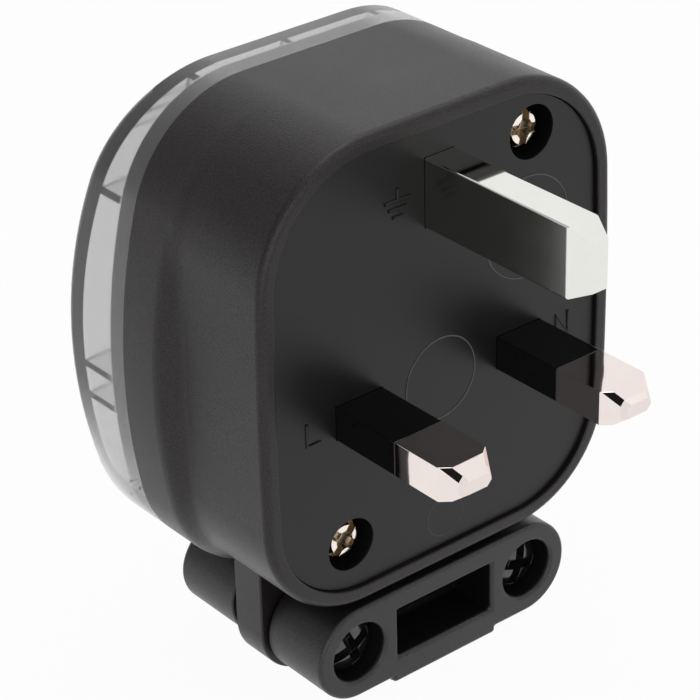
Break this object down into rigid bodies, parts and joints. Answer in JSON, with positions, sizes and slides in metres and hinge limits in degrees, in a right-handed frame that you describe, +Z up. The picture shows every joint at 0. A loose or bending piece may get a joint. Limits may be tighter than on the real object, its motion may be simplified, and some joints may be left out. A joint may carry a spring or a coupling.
{
  "type": "uk three pin plug",
  "caption": "Rewirable mains plug with rectangular pins, a stepped black housing with a proud rim, a clear arched front cover and a screwed cord clamp below.",
  "frame": {"origin": "midway between the live and neutral pins, on the rim's face that meets the socket", "axes": "X from the live pin to the neutral pin, Y from the pin tips into the body, Z up, from the cord clamp to the earth pin"},
  "size_m": [0.0526, 0.0546, 0.067],
  "materials": {
    "housing_black": "fine textured satin",
    "base_black": "smooth satin",
    "cover_clear": "clear, glossy",
    "pin_plated": "bright nickel plate",
    "sleeve_black": "glossy",
    "clip_brass": "bare brass",
    "terminal_steel": "zinc plate",
    "fuse_ceramic": "unglazed",
    "fuse_cap_plated": "nickel plate",
    "screw_plated": "warm nickel plate",
    "clamp_black": "fine textured satin",
    "screw_black": "black coated"
  },
  "bodies": {
    "root": {"housing": "housing_black", "pin_base": "base_black", "front_cover": "cover_clear", "earth_pin": "pin_plated", "neutral_pin": "pin_plated", "live_pin": "pin_plated", "neutral_sleeve": "sleeve_black", "live_sleeve": "sleeve_black", "lower_fuse_clip": "clip_brass", "upper_fuse_clip": "clip_brass", "live_terminal": "clip_brass", "terminal_screws": "terminal_steel", "fuse_tube": "fuse_ceramic", "lower_fuse_cap": "fuse_cap_plated", "upper_fuse_cap": "fuse_cap_plated", "case_screws": "screw_plated", "screw_inserts": "clip_brass", "clamp_rear": "clamp_black", "clamp_front": "clamp_black", "clamp_screws": "screw_black"}
  },
  "joints": []
}
